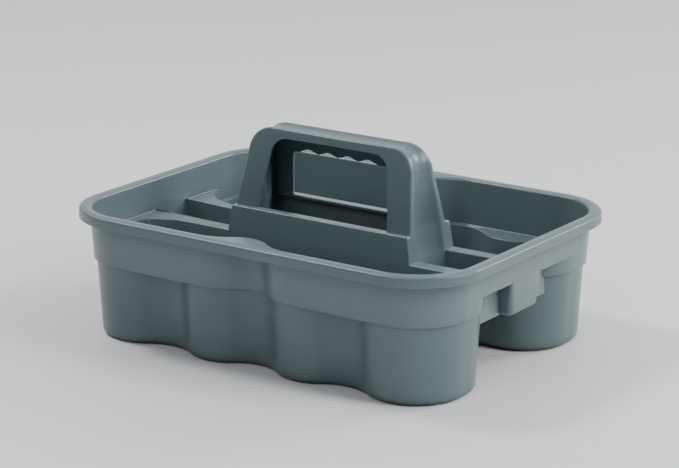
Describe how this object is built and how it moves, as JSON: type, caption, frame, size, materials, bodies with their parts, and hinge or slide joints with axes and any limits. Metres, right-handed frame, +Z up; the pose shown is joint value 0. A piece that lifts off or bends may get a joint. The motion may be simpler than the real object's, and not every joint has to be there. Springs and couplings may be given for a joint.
{
  "type": "cleaning caddy",
  "caption": "Nestable carry caddy with two scalloped bottle troughs, end pockets between them and a hollow arched handle with finger grips",
  "frame": {"origin": "under the middle of the caddy, on the plane the two trough feet stand on", "axes": "+X along the length, +Y across from the front trough to the rear one, +Z up through the handle"},
  "size_m": [0.381, 0.2862, 0.1684],
  "materials": {
    "body": "satin moulded polypropylene, blue-grey, fine even grain",
    "pad": "smooth glossy disc"
  },
  "bodies": {
    "root": {"base_pad_front_left": "pad", "base_pad_front_right": "pad", "base_pad_rear_left": "pad", "base_pad_rear_right": "pad", "front_left_deck": "body", "front_right_deck": "body", "front_spine": "body", "front_trough": "body", "front_trough_floor": "body", "handle_grip": "body", "handle_left_leg": "body", "handle_right_leg": "body", "left_pocket": "body", "left_tower_end_wall": "body", "rear_left_deck": "body", "rear_right_deck": "body", "rear_spine": "body", "rear_trough": "body", "rear_trough_floor": "body", "right_pocket": "body", "right_tower_end_wall": "body", "rim": "body", "upper_wall": "body"}
  },
  "joints": []
}
